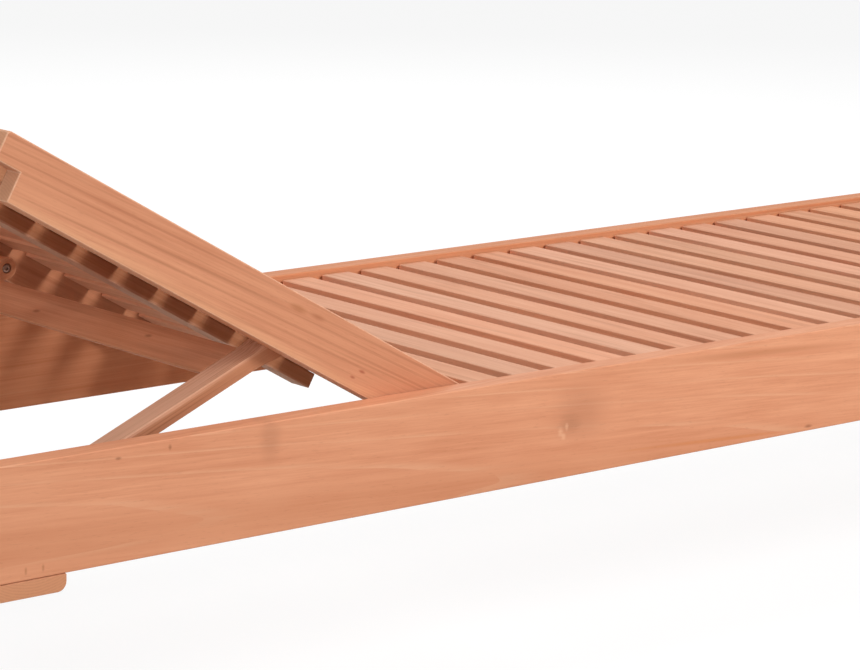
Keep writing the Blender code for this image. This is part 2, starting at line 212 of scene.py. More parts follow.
# %% [markdown]
# Boards come from different logs, so each has a slightly different tone. Where a saw went across the
# fibres the end grain shows the year rings as close arcs, on paler wood. And every rounded edge gets a thin
# pale line, partly the wear of sanding and partly a painted highlight where the rounding catches the light.
# All three come from values stored on the mesh, which a later step writes there.

# %% Board tone, end grain, and pale edges of wear and painted highlight
END_RING_SPACING = 0.0026
SPECKLE = 0.0022
# The pale edge colour is partly sanding wear and partly a painted highlight
EDGE_WEAR_AND_HIGHLIGHT_COLOUR = "#eebd9d"


def board_differences(tree, colour, grain, end, end_line, edge):
    tone = add_node(tree, "ShaderNodeAttribute", {"attribute_name": "board_tone"})
    parts = add_node(tree, "ShaderNodeSeparateXYZ", {}, {"Vector": tone.outputs["Vector"]})
    colour = add_node(tree, "ShaderNodeHueSaturation", {}, {
        "Hue": parts.outputs["X"], "Saturation": parts.outputs["Y"], "Value": parts.outputs["Z"],
        "Color": colour}).outputs["Color"]
    cut = add_node(tree, "ShaderNodeAttribute", {"attribute_name": "end_grain"}).outputs["Fac"]
    speckle = add_node(tree, "ShaderNodeTexNoise", {}, {
        "Vector": grain, "Scale": 1 / SPECKLE, "Detail": 2.0, "Roughness": 0.6}).outputs["Fac"]
    arcs = add_node(tree, "ShaderNodeMath", {"operation": "MULTIPLY"}, {
        0: growth_rings(tree, grain, END_RING_SPACING, "SIN"), 1: speckle}).outputs["Value"]
    across = add_node(tree, "ShaderNodeMix", {"data_type": "RGBA"}, {
        0: arcs, 6: linear(end), 7: linear(end_line)}).outputs[2]
    colour = add_node(tree, "ShaderNodeMix", {"data_type": "RGBA"}, {
        0: cut, 6: colour, 7: across}).outputs[2]
    # Rounded faces get a pale line, partly sanding wear and partly a painted highlight where they catch the light
    worn_and_lit_edge = add_node(tree, "ShaderNodeAttribute", {"attribute_name": "edge_wear_and_highlight"}).outputs["Fac"]
    rubbed_and_lit = add_node(tree, "ShaderNodeMapRange", {}, {
        "Value": speckle, "From Min": NOISE_LOW, "From Max": NOISE_HIGH,
        "To Min": 0.4 * edge, "To Max": edge})
    pale_edge_wear_and_highlight = add_node(tree, "ShaderNodeMath", {"operation": "MULTIPLY"}, {
        0: worn_and_lit_edge, 1: rubbed_and_lit.outputs["Result"]}).outputs["Value"]
    return add_node(tree, "ShaderNodeMix", {"data_type": "RGBA"}, {
        0: pale_edge_wear_and_highlight, 6: colour, 7: linear(EDGE_WEAR_AND_HIGHLIGHT_COLOUR)}).outputs[2]


print("end grain rings", END_RING_SPACING * 1000, "mm apart")

# %% [markdown]
# The finish itself is plain sanding, with no oil or varnish. Bare wood is matt: it takes light like
# chalk, with only a weak, wide gloss, so its roughness is high and its mirror share is turned down from
# the usual value. Fibres stand up a little after sanding and pores are open pits, which a bump of a few
# tenths of a millimetre gives. One recipe makes every finish below; only its colours and lines differ.

# %% The recipe for sanded teak
PORE_COLOUR = "#86492d"
PORE_START, PORE_FULL, PORE_SHARE = 0.62, 0.76, 0.11
SMOOTHEST, ROUGHEST = 0.64, 0.78
RAISED_FIBRE = 0.0004
END_PALE, END_LINE = "#d89a74", "#c98b67"


def sanded_teak(name, pale, deep, end, end_line, ring, contrast=1.0, marks=(), edge=0.2):
    material = bpy.data.materials.new(name)
    material.use_nodes = True
    tree = material.node_tree
    tree.nodes.clear()
    grain = add_node(tree, "ShaderNodeAttribute", {"attribute_name": "grain"}).outputs["Vector"]
    fibre = along_grain(tree, grain, FIBRE_LENGTH, FIBRE_WIDTH, 3.0, 0.6)
    pore = along_grain(tree, grain, PORE_LENGTH, PORE_WIDTH, 1.0, 0.5)
    colour = blend_figure(tree, grain, fibre, linear(pale), linear(deep), contrast, ring)
    colour = add_marks(tree, grain, fibre, colour, marks)
    pits = add_node(tree, "ShaderNodeMapRange", {"interpolation_type": "SMOOTHSTEP"}, {
        "Value": pore, "From Min": PORE_START, "From Max": PORE_FULL,
        "To Min": 0.0, "To Max": PORE_SHARE}).outputs["Result"]
    colour = add_node(tree, "ShaderNodeMix", {"data_type": "RGBA"}, {
        0: pits, 6: colour, 7: linear(PORE_COLOUR)}).outputs[2]
    colour = board_differences(tree, colour, grain, end, end_line, edge)
    dull = add_node(tree, "ShaderNodeMapRange", {}, {
        "Value": fibre, "From Min": NOISE_LOW, "From Max": NOISE_HIGH,
        "To Min": SMOOTHEST, "To Max": ROUGHEST}).outputs["Result"]
    height = add_node(tree, "ShaderNodeMath", {"operation": "SUBTRACT"}, {
        0: fibre, 1: pits}).outputs["Value"]
    raised = add_node(tree, "ShaderNodeBump", {}, {
        "Height": height, "Strength": 0.22, "Distance": RAISED_FIBRE}).outputs["Normal"]
    surface = add_node(tree, "ShaderNodeBsdfPrincipled", {}, {
        "Base Color": colour, "Roughness": dull, "Normal": raised, "IOR": 1.5, "Specular IOR Level": 0.12})
    add_node(tree, "ShaderNodeOutputMaterial", {}, {"Surface": surface.outputs["BSDF"]})
    print("made", name, "with", len(tree.nodes), "nodes")
    return material


print("the teak recipe is ready")

# %% [markdown]
# Most boards in the CAD model are boxes with a small rounding. Those of the backrest and the prop are
# tilted, so they are measured and built in the position where they lie level, and then turned about their
# joint to the angle that the model rests at. Working level keeps every board's box and grain simple.

# %% Level positions of the three bodies
BACK_ANGLE = math.radians(29.6)
STRUT_SLOPE = math.radians(22.611)
PIVOTS = {joint["child"]: Vector(joint["pos_m"]) for joint in frame["joints"]}
BODY_OF = {node: body for body, nodes in frame["record"]["behaviour"]["bodies"].items() for node in nodes}


def tilt_of(body):
    if body == "frame":
        return Matrix.Identity(4)
    angle = BACK_ANGLE if body == "backrest" else -STRUT_SLOPE
    there = Matrix.Translation(PIVOTS[body])
    return there @ Matrix.Rotation(angle, 4, "Y") @ there.inverted()


print("pivots", {name: [round(v, 4) for v in point] for name, point in PIVOTS.items()})

# %% [markdown]
# Each board comes from its own part of a log. A seeded random choice, one for each board, says how far
# the board lay from the heart, how much the log tapered, and how its tone differs from its neighbours.
# The choice is stored on the mesh, with the faces that cut across the fibres and the rounded ones, whose
# pale line is partly sanding wear and partly a painted highlight.

# %% Store the wood's coordinates on a board
AXIS_ORDER = {"X": (0, 2, 1), "Y": (1, 0, 2), "Z": (2, 0, 1)}
BOARD_NUMBER = {name: number for number, name in enumerate(sorted(frame["nodes"]))}
LOG_APART = 5.0
# How squarely a face looks along an axis, from 0 to 1: a sawn end, and a rounded edge
END_FACING = 0.75
EDGE_LOW, EDGE_HIGH, EDGE_MOST = 0.12, 0.97, 0.93


def log_of(node, spread):
    chance = random.Random("log " + node)
    side = chance.choice((-1, 1))
    away = side * chance.uniform(0.05, 0.10)
    heart = Vector((LOG_APART * BOARD_NUMBER[node], chance.uniform(-0.02, 0.02), away))
    taper = (chance.uniform(-0.012, 0.012), side * chance.uniform(0.008, 0.03))
    hue = 0.5 + spread * chance.uniform(-0.001, 0.001)
    saturation = 1.0 + spread * chance.uniform(-0.03, 0.03)
    value = 1.0 + spread * chance.uniform(-0.06, 0.04)
    return heart, taper, (hue, saturation, value)


def store_wood(shape, middle, along, log):
    heart, taper, tone = log
    order = AXIS_ORDER[along]
    grain = shape.verts.layers.float_vector.new("grain")
    board_tone = shape.verts.layers.float_vector.new("board_tone")
    for vert in shape.verts:
        local = [(vert.co - middle)[axis] for axis in order]
        slant = Vector((0.0, taper[0] * local[0], taper[1] * local[0]))
        vert[grain] = Vector(local) + heart + slant
        vert[board_tone] = Vector(tone)
    end_grain = shape.faces.layers.float.new("end_grain")
    edge_wear_and_highlight = shape.faces.layers.float.new("edge_wear_and_highlight")
    shape.normal_update()
    for face in shape.faces:
        facing = [abs(face.normal[axis]) for axis in range(3)]
        rounded = EDGE_LOW < facing[1] < EDGE_HIGH or max(facing) < EDGE_MOST
        face[end_grain] = 1.0 if facing[order[0]] > END_FACING else 0.0
        face[edge_wear_and_highlight] = 1.0 if rounded else 0.0
        face.smooth = True


print("boards to number", len(BOARD_NUMBER))

# %% [markdown]
# Now the boards. A plain one is made again from its node's own box, with four strips to each rounding
# where the CAD model has two, because a fine rounding catches the light along an edge. A shaped one keeps
# its node's outline, which is welded so that it shades smoothly. A bevel modifier would round the edges
# as well, but it comes after the wood's values are stored, and those have to tell an edge from a face.

# %% Shape a board from its node
EDGE_STEPS = 4
WELD_DISTANCE = 1e-6
FLAT_ENOUGH = math.radians(0.6)


def level_mesh(node, tilt):
    shape = bmesh.new()
    shape.from_mesh(frame["nodes"][node].data)
    bmesh.ops.transform(shape, matrix=tilt.inverted(), verts=shape.verts)
    return shape


def box_of(shape):
    low = Vector([min(v.co[axis] for v in shape.verts) for axis in range(3)])
    high = Vector([max(v.co[axis] for v in shape.verts) for axis in range(3)])
    return low, high


def eased_board(shape, radius):
    low, high = box_of(shape)
    shape.clear()
    bmesh.ops.create_cube(shape, size=1.0)
    for vert in shape.verts:
        vert.co = Vector([low[a] if vert.co[a] < 0 else high[a] for a in range(3)])
    bmesh.ops.bevel(shape, geom=shape.edges[:], offset=radius, segments=EDGE_STEPS, profile=0.5,
                    affect="EDGES")


def welded_board(shape):
    bmesh.ops.remove_doubles(shape, verts=shape.verts, dist=WELD_DISTANCE)
    bmesh.ops.dissolve_limit(shape, angle_limit=FLAT_ENOUGH, verts=shape.verts, edges=shape.edges)


print("rounded edges get", EDGE_STEPS, "strips each")

# %% [markdown]
# A finished board is turned to its place, becomes an object, rides on its node's body and stands for that
# node, which stays in the model for collision. Edges sharper than a set angle stay crisp, and a weighted
# normal keeps the wide faces flat between their roundings.

# %% Place a board and say which node it stands for
SHARP = math.radians(50)


def place_piece(shape, node, tilt, name, material, sharp):
    for edge in shape.edges:
        edge.smooth = edge.calc_face_angle(0.0) < sharp
    bmesh.ops.transform(shape, matrix=tilt, verts=shape.verts)
    mesh = bpy.data.meshes.new(name)
    shape.to_mesh(mesh)
    shape.free()
    mesh.materials.append(material)
    piece = bpy.data.objects.new(name, mesh)
    scene.collection.objects.link(piece)
    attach(piece, BODY_OF[node])
    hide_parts(node)
    return piece


def dress(node, along, material, radius=None, spread=1.0, log=None):
    tilt = tilt_of(BODY_OF[node])
    shape = level_mesh(node, tilt)
    low, high = box_of(shape)
    if radius:
        eased_board(shape, radius)
    else:
        welded_board(shape)
    store_wood(shape, (low + high) / 2, along, log or log_of(node, spread))
    piece = place_piece(shape, node, tilt, "teak_" + node, material, SHARP)
    flat_faces = piece.modifiers.new("flat_faces_stay_flat", "WEIGHTED_NORMAL")
    flat_faces.keep_sharp = True
    return piece


print("edges over", round(math.degrees(SHARP)), "degrees stay crisp")

# %% [markdown]
# The side rails are the largest boards and carry the whole bed, so they are the ones to look at longest.
# The near one shows the arch of a flat-sawn plank at its head end, a brown patch with pale flecks at a
# knot, a few small dark flecks and brown streaks, and its lower part is a little darker. Its log is set
# so that the arch comes where the real one has it: along the head half its heart lies 50 to 80 mm
# behind the outer face, and it sinks towards the foot.

# %% Side rails, with the near rail's own log and marks
RAIL_EDGE = 0.0015
RAIL_HEART = 0.0562
RAIL_LEAN = 0.05
RAIL_LOG = (Vector((0.0, RAIL_HEART, -0.0685)), (RAIL_LEAN, -0.03), (0.5, 1.0, 1.0))


def rail_mark(x, across):
    return (x, across + RAIL_HEART + RAIL_LEAN * x, 0.0)


RAIL_MARKS = (
    (rail_mark(-0.200, -0.056), 1.600, 0.0340, "#c27e59", 0.34),
    (rail_mark(-0.230, 0.010), 0.050, 0.0400, "#b4785a", 0.40),
    (rail_mark(-0.243, 0.001), 0.020, 0.0150, "#a97153", 0.36),
    (rail_mark(-0.2555, -0.006), 0.005, 0.0060, "#efbb98", 0.42),
    (rail_mark(-0.2515, -0.011), 0.004, 0.0050, "#efbb98", 0.40),
    (rail_mark(-0.2475, -0.002), 0.003, 0.0060, "#efbb98", 0.42),
    (rail_mark(-0.780, 0.043), 0.005, 0.0022, "#8d5438", 0.60),
    (rail_mark(-0.724, 0.045), 0.003, 0.0040, "#8d5438", 0.60),
    (rail_mark(-0.878, -0.044), 0.002, 0.0050, "#a5663f", 0.50),
    (rail_mark(-0.860, -0.044), 0.002, 0.0050, "#a5663f", 0.50),
    (rail_mark(-0.612, 0.036), 0.018, 0.0300, "#ad7355", 0.36),
    (rail_mark(0.020, 0.040), 0.150, 0.0060, "#b9754f", 0.50),
    (rail_mark(-0.040, -0.044), 0.170, 0.0030, "#cf7f4c", 0.55),
    (rail_mark(0.092, -0.048), 0.008, 0.0030, "#8d5438", 0.60),
)
# Flat-sawn and sanded: warm and even to the eye, with thin pale year lines that come and go
rail_teak = sanded_teak("teak_sanded_side_rails", "#e5a27d", "#d08864", END_PALE, END_LINE,
                        PALE_LINES, 0.75, RAIL_MARKS, 0.08)
far_rail_number = LOG_APART * BOARD_NUMBER["left_rail"]
# The far rail's tone is turned a little darker, as painted shade
FAR_RAIL_LOG = (Vector((far_rail_number, 0.12, 0.0)), (0.002, 0.004), (0.5, 1.05, 0.95))
for node, log in (("right_rail", RAIL_LOG), ("left_rail", FAR_RAIL_LOG)):
    dress(node, "X", rail_teak, RAIL_EDGE, 0.4, log)

# %% [markdown]
# The bed is twenty-three short slats on two ledgers, with a flat batten under their middles. Slats are
# cut from many planks, so each gets a log of its own, and paler and darker ones lie side by side. Ledgers
# and batten are the same timber, straight from the planer, on faces that are seldom seen.

# %% Seat slats, ledgers and batten
SLAT_EDGE = 0.0012
SLAT_SPREAD = 1.7
SMALL_EDGE = 0.0008
FAINT_LINES = {"spacing": 0.007, "profile": "SIN", "reach": 0.30, "strength": 0.28, "colour": "#bb805f"}
# Sanded on all sides: a little paler and pinker than the rails, with pale edges that are partly worn by
# sanding and partly a painted highlight
slat_teak = sanded_teak("teak_sanded_slats", "#e8ab88", "#d69473", END_PALE, END_LINE,
                        FAINT_LINES, 0.9, edge=0.45)
# Straight from the planer: browner and plainer
planed_teak = sanded_teak("teak_planed_battens", "#d99a70", "#c08056", END_PALE, END_LINE,
                          FAINT_LINES, 1.0)
seat_slats = [name for name in frame["nodes"] if name.startswith("seat_slat_")]
for node in seat_slats:
    dress(node, "Y", slat_teak, SLAT_EDGE, SLAT_SPREAD)
for node in ("right_ledger", "left_ledger", "seat_batten"):
    dress(node, "X", planed_teak, SMALL_EDGE)
print("seat slats", len(seat_slats))

# %% [markdown]
# Four square legs stand inside the corners, with a bearer board across each pair and a rail across each
# end. Legs have their fibres upright; the others run across the bed, which is why their end grain shows
# at the sides. The bearers' rounded ends are a shape of their own, so those nodes' outlines are kept and
# only welded.

# %% Legs, bearers and end rails
LEG_EDGE = 0.004
# Sanded posts and cross boards: redder and a little darker than the slats, at their sawn ends too
post_teak = sanded_teak("teak_sanded_posts", "#dc9a74", "#c57f5a", "#d1926d", "#c28460",
                        FAINT_LINES, 0.9)
for node in ("right_head_leg", "left_head_leg", "right_foot_leg", "left_foot_leg"):
    dress(node, "Z", post_teak, LEG_EDGE, 0.5)
for node in ("head_bearer", "foot_bearer"):
    dress(node, "Y", post_teak, None, 0.5)
for node in ("head_rail", "foot_rail"):
    dress(node, "Y", post_teak, SLAT_EDGE, 0.5)

# %% [markdown]
# The racks are the notched strips that the prop's feet move along, inside the rails. Their teeth are sawn
# and only lightly sanded, so they take the planed finish. They keep the node's outline: the notches are
# the working shape, and a wrong one would show as soon as the back is moved.

# %% Racks for the prop
for node in ("right_rack", "left_rack"):
    dress(node, "X", planed_teak, None, 0.6)
rack_low, rack_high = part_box("right_rack")
print("a rack is", round((rack_high.x - rack_low.x) * 1000), "mm long")

# %% [markdown]
# The two stiles are the sides of the backrest. The near one's soft dark grain lines run out at a slight
# slant, over a plainer, paler band along its lower edge, and there is a little wild figure a third of the
# way up, so its log is set like the near rail's. The far one is made darker as painted shade, since its
# inner face lies in the shade under the slats. Both are built lying flat and then turned up about the
# hinge.

# %% Stiles of the backrest
STILE_HEART = 0.075
STILE_LEAN = -0.055
stile_number = LOG_APART * BOARD_NUMBER["right_stile"]
STILE_LOG = (Vector((stile_number, STILE_HEART, -0.030)), (STILE_LEAN, -0.02), (0.5, 1.0, 0.98))
stile_low, stile_high = box_of(level_mesh("right_stile", tilt_of("backrest")))
stile_middle = (stile_low + stile_high) / 2


def stile_mark(from_hinge, above_hinge):
    along = PIVOTS["backrest"].x + from_hinge - stile_middle.x
    across = PIVOTS["backrest"].z + above_hinge - stile_middle.z
    return (stile_number + along, across + STILE_HEART + STILE_LEAN * along, 0.0)


STILE_MARKS = (
    *((stile_mark(-0.06 - 0.10 * step, -0.025), 0.120, 0.0150, "#e5a780", 0.62) for step in range(7)),
    (stile_mark(-0.225, 0.020), 0.016, 0.0050, "#a9683f", 0.50),
    (stile_mark(-0.200, 0.022), 0.014, 0.0040, "#a4613f", 0.50),
    (stile_mark(-0.125, -0.003), 0.006, 0.0022, "#a5503a", 0.70),
    (stile_mark(-0.133, -0.012), 0.005, 0.0020, "#a5503a", 0.65),
    (stile_mark(-0.330, 0.010), 0.170, 0.0022, "#a86c4c", 0.50),
    (stile_mark(-0.420, -0.006), 0.200, 0.0018, "#a86c4c", 0.45),
    (stile_mark(-0.100, 0.006), 0.120, 0.0018, "#b0714f", 0.45),
)
# Sanded stiles: soft dark year lines, and strong pale edges, partly sanding wear and partly a painted
# highlight where the rounded edges catch the light
stile_teak = sanded_teak("teak_sanded_stiles", "#df9c77", "#c98462", "#dfa37f", "#d29675",
                         SOFT_DARK_LINES, 0.8, STILE_MARKS, 0.7)
dress("right_stile", "X", stile_teak, None, 0.4, STILE_LOG)
far_stile_log = log_of("left_stile", 0.4)
# The far stile's tone is turned darker, as painted shade on its inner face under the slats
dress("left_stile", "X", stile_teak, None, log=(*far_stile_log[:2], (0.5, 1.03, 0.78)))
print("stiles", round((stile_high.x - stile_low.x) * 1000), "mm long")

# %% [markdown]
# Between the stiles lie eleven slats like those of the bed, a short rail at the top and a batten under
# the slats' middles. The batten is made much darker than the other boards, as painted shade under the
# slats, and a pale strip along its underside is a painted highlight where light from below falls on it;
# it shows as a thin light line below the slats. All of them are turned up about the hinge with the
# stiles.

# %% Slats, head rail and batten of the backrest
back_slats = [name for name in frame["nodes"] if name.startswith("back_slat_")]
for node in back_slats:
    dress(node, "Y", slat_teak, SLAT_EDGE)
dress("back_head_rail", "Y", post_teak, SMALL_EDGE, 0.5)
batten_number = LOG_APART * BOARD_NUMBER["back_batten"]
# The log's dark tone is painted shade; the mark below it is a painted highlight along the underside
BATTEN_LOG_WITH_PAINTED_SHADE = (Vector((batten_number, 0.0, -0.060)), (0.0, 0.01), (0.495, 1.02, 0.65))
BATTEN_PAINTED_UNDERSIDE_LIGHT = (((batten_number, -0.0095, 0.0), 1.500, 0.0045, "#ffcfae", 0.95),)
# Planed, made darker as painted shade, with a pale strip below that is a painted highlight
batten_teak = sanded_teak("teak_planed_back_batten", "#d99a70", "#c08056", END_PALE, END_LINE,
                          FAINT_LINES, 1.0, BATTEN_PAINTED_UNDERSIDE_LIGHT)
dress("back_batten", "X", batten_teak, SMALL_EDGE, log=BATTEN_LOG_WITH_PAINTED_SHADE)
print("back slats", len(back_slats))

# %% [markdown]
# The prop is two struts and a cross board, which swings under the back. Each strut widens to a round ear
# about its bolt. The near one is made darker as painted shade, and a pale strip along its upper face is a
# painted highlight that fades towards the pivot as painted shade from the stile; it also has dark streaks
# on its side, and the cross board has two small knots. They are built level along the struts, keep their
# nodes' outlines, and are turned down about the prop's bolts.

# %% Prop
CROSS_HEART = 0.012
cross_number = LOG_APART * BOARD_NUMBER["prop_cross_board"]
CROSS_LOG = (Vector((cross_number, CROSS_HEART, -0.080)), (0.006, -0.02), (0.5, 1.0, 0.97))
strut_number = LOG_APART * BOARD_NUMBER["right_strut"]
# The near strut's tone is turned darker as painted shade
STRUT_LOG_WITH_PAINTED_SHADE = (Vector((strut_number, 0.0, -0.070)), (0.0, 0.01), (0.5, 1.0, 0.79))
PROP_MARKS_AND_PAINTED_LIGHT = (
    ((cross_number - 0.10, CROSS_HEART + 0.004, 0.0), 0.007, 0.0040, "#8a5034", 0.65),
    ((cross_number + 0.08, CROSS_HEART - 0.006, 0.0), 0.008, 0.0045, "#8a5034", 0.65),
    # A painted highlight along the near strut's upper face, which fades towards the pivot as painted shade
    ((strut_number - 0.03, 0.0090, 0.0), 0.300, 0.0066, "#ffc5a4", 1.0),
    ((strut_number - 0.02, -0.0020, 0.0), 0.160, 0.0012, "#8f5638", 0.45),
    ((strut_number + 0.03, 0.0015, 0.0), 0.100, 0.0010, "#8f5638", 0.35),
)
# Sanded, with more marks in it than the rest: knots, dark streaks, and a pale strip that is a painted
# highlight
prop_teak = sanded_teak("teak_sanded_prop", "#dc9a74", "#c57f5a", END_PALE, END_LINE,
                        FAINT_LINES, 0.9, PROP_MARKS_AND_PAINTED_LIGHT)
far_strut_log = log_of("left_strut", 0.5)
dress("right_strut", "X", prop_teak, None, log=STRUT_LOG_WITH_PAINTED_SHADE)
dress("left_strut", "X", prop_teak, None, log=(*far_strut_log[:2], (0.5, 1.0, 1.0)))
dress("prop_cross_board", "Y", prop_teak, None, 0.5, CROSS_LOG)
print("prop turned down", round(math.degrees(STRUT_SLOPE), 2), "degrees")

# %% [markdown]
# The hinge turns on two steel pins that are hidden in the wood, and the prop on two machine screws whose
# heads lie sunk in the struts. The steel is turned and then dull from handling, with a soft, slightly
# scuffed sheen; its brownish grey is a painted reflection of the teak round it. The pins' CAD shape is
# right as it is, so those nodes stay and only get the steel.

# %% Dull turned steel
SCUFF = 0.0015
steel = bpy.data.materials.new("steel_turned_dull")
steel.use_nodes = True
steel.node_tree.nodes.clear()
place = add_node(steel.node_tree, "ShaderNodeTexCoord").outputs["Object"]
scuffs = add_node(steel.node_tree, "ShaderNodeTexNoise", {}, {
    "Vector": place, "Scale": 1 / SCUFF, "Detail": 3.0, "Roughness": 0.6}).outputs["Fac"]
# The brown in the steel's colour is a painted reflection of the teak round it
shade = add_node(steel.node_tree, "ShaderNodeMix", {"data_type": "RGBA"}, {
    0: scuffs, 6: linear("#7d6053"), 7: linear("#ab8b7a")}).outputs[2]
sheen = add_node(steel.node_tree, "ShaderNodeMapRange", {}, {
    "Value": scuffs, "From Min": NOISE_LOW, "From Max": NOISE_HIGH,
    "To Min": 0.26, "To Max": 0.44}).outputs["Result"]
scratches = add_node(steel.node_tree, "ShaderNodeBump", {}, {
    "Height": scuffs, "Strength": 0.15, "Distance": 0.0002}).outputs["Normal"]
metal = add_node(steel.node_tree, "ShaderNodeBsdfPrincipled", {}, {
    "Base Color": shade, "Metallic": 1.0, "Roughness": sheen, "Normal": scratches})
add_node(steel.node_tree, "ShaderNodeOutputMaterial", {}, {"Surface": metal.outputs["BSDF"]})
for node in ("right_hinge_bolt", "left_hinge_bolt"):
    frame["nodes"][node].material_slots[0].material = steel
print("made", steel.name, "for the hinge pins and the prop's bolts")

# %% [markdown]
# The prop's bolts have a round head with a hexagon socket, but the CAD bolt is a plain turned body. The
# whole bolt is therefore made again as a list of rings: each has a radius, a place along the bolt, and
# whether it is six-sided. They go up the shank, over the head, down into the socket and across its floor.
# Cutting the socket out with a boolean would work as well, but leaves long thin faces round it. The sizes
# are measured on the node.

# %% Rings of a bolt with a socket head
SOCKET_SHARE = 0.45
SOCKET_DEPTH = 0.6
TINY_EDGE = 0.0003
# Shares of the head's radius that tell the head's points from the shank's
HEAD_FROM, SHANK_TO = 0.9, 0.72


def hexagon(angle, flat):
    return flat / math.cos((angle + math.pi / 6) % (math.pi / 3) - math.pi / 6)


def bolt_rings(shape):
    low, high = box_of(shape)
    axis = (low + high) / 2
    head = (high.x - low.x) / 2
    reach = [math.hypot(v.co.x - axis.x, v.co.z - axis.z) for v in shape.verts]
    wide = [v.co.y for v, r in zip(shape.verts, reach) if r > HEAD_FROM * head]
    shank = max(r for r in reach if r < SHANK_TO * head)
    up = 1 if max(wide) > (low.y + high.y) / 2 else -1
    tip, collar, top = (low.y, min(wide), high.y) if up == 1 else (high.y, max(wide), low.y)
    tall = abs(top - collar)
    flat = SOCKET_SHARE * head
    rings = [(0.0, tip, False), (shank - 2 * TINY_EDGE, tip, False)]
    rings += [(shank, tip + up * 2 * TINY_EDGE, False), (shank, collar, False)]
    rings += [(head - TINY_EDGE, collar, False), (head, collar + up * TINY_EDGE, False)]
    for step in range(5):
        turn = math.radians(90 * step / 4)
        round_over = 3 * TINY_EDGE
        radius = head - round_over + round_over * math.cos(turn)
        rings.append((radius, top - up * round_over * (1 - math.sin(turn)), False))
    rings += [(flat + TINY_EDGE, top, True), (flat, top - up * TINY_EDGE, True)]
    rings += [(flat, top - up * SOCKET_DEPTH * tall, True), (0.0, top - up * SOCKET_DEPTH * tall, False)]
    return axis, rings


print("sockets are", SOCKET_SHARE, "of the head's width")

# %% [markdown]
# Joining neighbouring rings with faces gives one closed body. A six-sided ring has as many points as a
# round one, so the two join without gaps: its points only lie nearer to the axis where a flat is. The
# rings at the axis shrink to a point, and welding closes them.

# %% Build the two bolts
BOLT_SIDES = 48
BOLT_WELD = 1e-7
BOLT_SHARP = math.radians(35)


def build_rings(shape, axis, rings):
    loops = []
    for radius, along, six_sided in rings:
        loop = []
        for side in range(BOLT_SIDES):
            angle = 2 * math.pi * side / BOLT_SIDES
            reach = hexagon(angle, radius) if six_sided else radius
            point = (axis.x + reach * math.cos(angle), along, axis.z + reach * math.sin(angle))
            loop.append(shape.verts.new(point))
        loops.append(loop)
    for inner, outer in zip(loops, loops[1:]):
        for side in range(BOLT_SIDES):
            after = (side + 1) % BOLT_SIDES
            shape.faces.new((inner[side], inner[after], outer[after], outer[side]))
    bmesh.ops.remove_doubles(shape, verts=shape.verts, dist=BOLT_WELD)
    bmesh.ops.dissolve_degenerate(shape, dist=BOLT_WELD, edges=shape.edges)
    bmesh.ops.recalc_face_normals(shape, faces=shape.faces)


for node in ("right_prop_bolt", "left_prop_bolt"):
    tilt = tilt_of(BODY_OF[node])
    shape = level_mesh(node, tilt)
    axis, rings = bolt_rings(shape)
    shape.clear()
    build_rings(shape, axis, rings)
    for face in shape.faces:
        face.smooth = True
    bolt = place_piece(shape, node, tilt, "steel_" + node, steel, BOLT_SHARP)
    print(bolt.name, len(bolt.data.polygons), "faces")

# %% [markdown]
# The lounger stands on a plain pale floor. To the camera the floor glows a little below white, through
# the Light Path node, and the light that falls on it adds the rest: open floor comes out white, and the
# shadow under the bed still shows. That needs no extra light on the wood. To the wood the floor is a
# plain light grey, which throws a soft light up at the undersides as a studio floor does.

# %% Floor
FLOOR_GLOW = 0.90
FLOOR_SHADING = (0.16, 0.16, 0.16, 1.0)
FLOOR_RADIUS = 60.0
FLOOR_LEVEL = -0.0005
floor_mesh = bpy.data.meshes.new("studio_floor")
floor_shape = bmesh.new()
bmesh.ops.create_circle(floor_shape, cap_ends=True, radius=FLOOR_RADIUS, segments=96)
floor_shape.to_mesh(floor_mesh)
floor_shape.free()
floor = bpy.data.objects.new("studio_floor", floor_mesh)
floor.location.z = FLOOR_LEVEL
scene.collection.objects.link(floor)


def seen_directly(tree):
    path = add_node(tree, "ShaderNodeLightPath")
    mirrored = add_node(tree, "ShaderNodeMath", {"operation": "ADD"}, {
        0: path.outputs["Is Glossy Ray"], 1: path.outputs["Is Transmission Ray"]}).outputs["Value"]
    return add_node(tree, "ShaderNodeMath", {"operation": "ADD", "use_clamp": True}, {
        0: path.outputs["Is Camera Ray"], 1: mirrored}).outputs["Value"]


painted = bpy.data.materials.new("paint_matt_pale_floor")
painted.use_nodes = True
painted.node_tree.nodes.clear()
direct = seen_directly(painted.node_tree)
shade = add_node(painted.node_tree, "ShaderNodeMix", {"data_type": "RGBA"}, {
    0: direct, 6: linear("#ccc9c6"), 7: FLOOR_SHADING}).outputs[2]
lit = add_node(painted.node_tree, "ShaderNodeBsdfDiffuse", {}, {"Color": shade})
glow = add_node(painted.node_tree, "ShaderNodeMath", {"operation": "MULTIPLY"}, {
    0: direct, 1: FLOOR_GLOW}).outputs["Value"]
clean = add_node(painted.node_tree, "ShaderNodeEmission", {}, {
    "Color": linear("#ffffff"), "Strength": glow})
mixed = add_node(painted.node_tree, "ShaderNodeAddShader", {}, {
    0: lit.outputs["BSDF"], 1: clean.outputs["Emission"]})
add_node(painted.node_tree, "ShaderNodeOutputMaterial", {}, {"Surface": mixed.outputs["Shader"]})
floor_mesh.materials.append(painted)
print("floor glows at", FLOOR_GLOW, "for the camera, and light on it adds the rest")

# %% [markdown]
# Five soft panels light it. The key is small, and stands on the near side, a little towards the foot end:
# its light falls through the gaps of the backrest and draws stripes under it, which a wide panel would
# blur. A wide weak panel beside it fills the near faces, a small one by the head end lights the prop and
# the gaps between slats, and two more, from above and from the far side, light the tops of the slats. The
# level of a panel is the brightness of a white card that faces it, so levels are easy to compare.

# %% Soft panels
AIM = Vector((-0.4, 0.0, 0.3))
PANEL_DISTANCE = 4.5
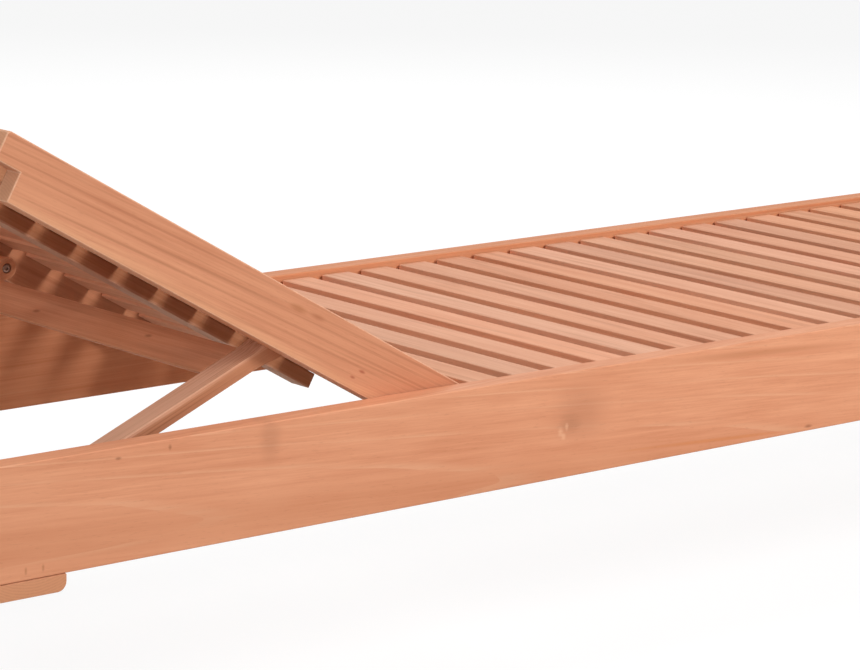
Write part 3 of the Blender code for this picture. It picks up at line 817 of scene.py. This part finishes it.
# Each panel's name, its direction from the aim, its level and its width
PANELS = (
    ("key_panel", (0.39, -0.77, 0.50), 0.60, 1.4),
    ("near_panel", (-0.10, -0.95, 0.30), 0.20, 4.0),
    ("head_panel", (-0.85, -0.10, 0.47), 0.25, 1.6),
    ("top_panel", (-0.25, -0.10, 0.95), 0.27, 2.4),
    ("far_panel", (0.55, 0.65, 0.50), 0.33, 3.0),
)


def soft_panel(name, towards, level, width):
    panel = bpy.data.lights.new(name, "AREA")
    panel.shape = "DISK"
    panel.size = width
    panel.energy = level * math.pi ** 2 * PANEL_DISTANCE ** 2
    stand = bpy.data.objects.new(name, panel)
    travel = -Vector(towards).normalized()
    stand.location = AIM - travel * PANEL_DISTANCE
    stand.rotation_euler = travel.to_track_quat("-Z", "Y").to_euler()
    scene.collection.objects.link(stand)
    print(name, "at", [round(v, 2) for v in stand.location], "power", round(panel.energy), "W")


for panel_values in PANELS:
    soft_panel(*panel_values)

# %% [markdown]
# The room adds an even fill from all round. With it, a white card that faces up comes out at about full
# white, so the colours above render about as they are written. The camera sees the room as plain white.

# %% Room fill
ROOM_FILL = 0.08
room = bpy.data.worlds.new("studio_room")
room.use_nodes = True
room.node_tree.nodes.clear()
fill = add_node(room.node_tree, "ShaderNodeBackground", {}, {
    "Color": linear("#ffffff"), "Strength": ROOM_FILL})
white = add_node(room.node_tree, "ShaderNodeBackground", {}, {
    "Color": linear("#ffffff"), "Strength": 1.0})
chosen = add_node(room.node_tree, "ShaderNodeMixShader", {}, {
    0: seen_directly(room.node_tree), 1: fill.outputs["Background"], 2: white.outputs["Background"]})
add_node(room.node_tree, "ShaderNodeOutputWorld", {}, {"Surface": chosen.outputs["Shader"]})
scene.world = room
print("room fill", ROOM_FILL)

# %% [markdown]
# The photograph was taken with a long lens from the head end's near corner, a little above the bed. Its
# place was found by fitting a camera to the slat ends and rails. A camera looks along its own -Z axis, so
# its three axes are worked out from the direction of view and a slight roll, and set as one matrix.

# %% Camera
IMAGE_WIDTH = 860
FOCAL_PIXELS = 3481
CAMERA_PLACE = (-2.4767, -2.7873, 1.0558)
YAW, PITCH, ROLL = (math.radians(angle) for angle in (39.507, 11.753, 0.84))
view = Vector((math.sin(YAW) * math.cos(PITCH), math.cos(YAW) * math.cos(PITCH), -math.sin(PITCH)))
level = Vector((math.cos(YAW), -math.sin(YAW), 0.0))
above = level.cross(view)
right = math.cos(ROLL) * level + math.sin(ROLL) * above
upward = math.cos(ROLL) * above - math.sin(ROLL) * level
turn = Matrix((right, upward, -view)).transposed().to_4x4()
lens = bpy.data.cameras.new("photo_camera")
lens.sensor_width = 36.0
lens.lens = FOCAL_PIXELS / IMAGE_WIDTH * lens.sensor_width
camera = bpy.data.objects.new("photo_camera", lens)
camera.matrix_world = Matrix.Translation(CAMERA_PLACE) @ turn
scene.collection.objects.link(camera)
scene.camera = camera
print("lens", round(lens.lens, 1), "mm")
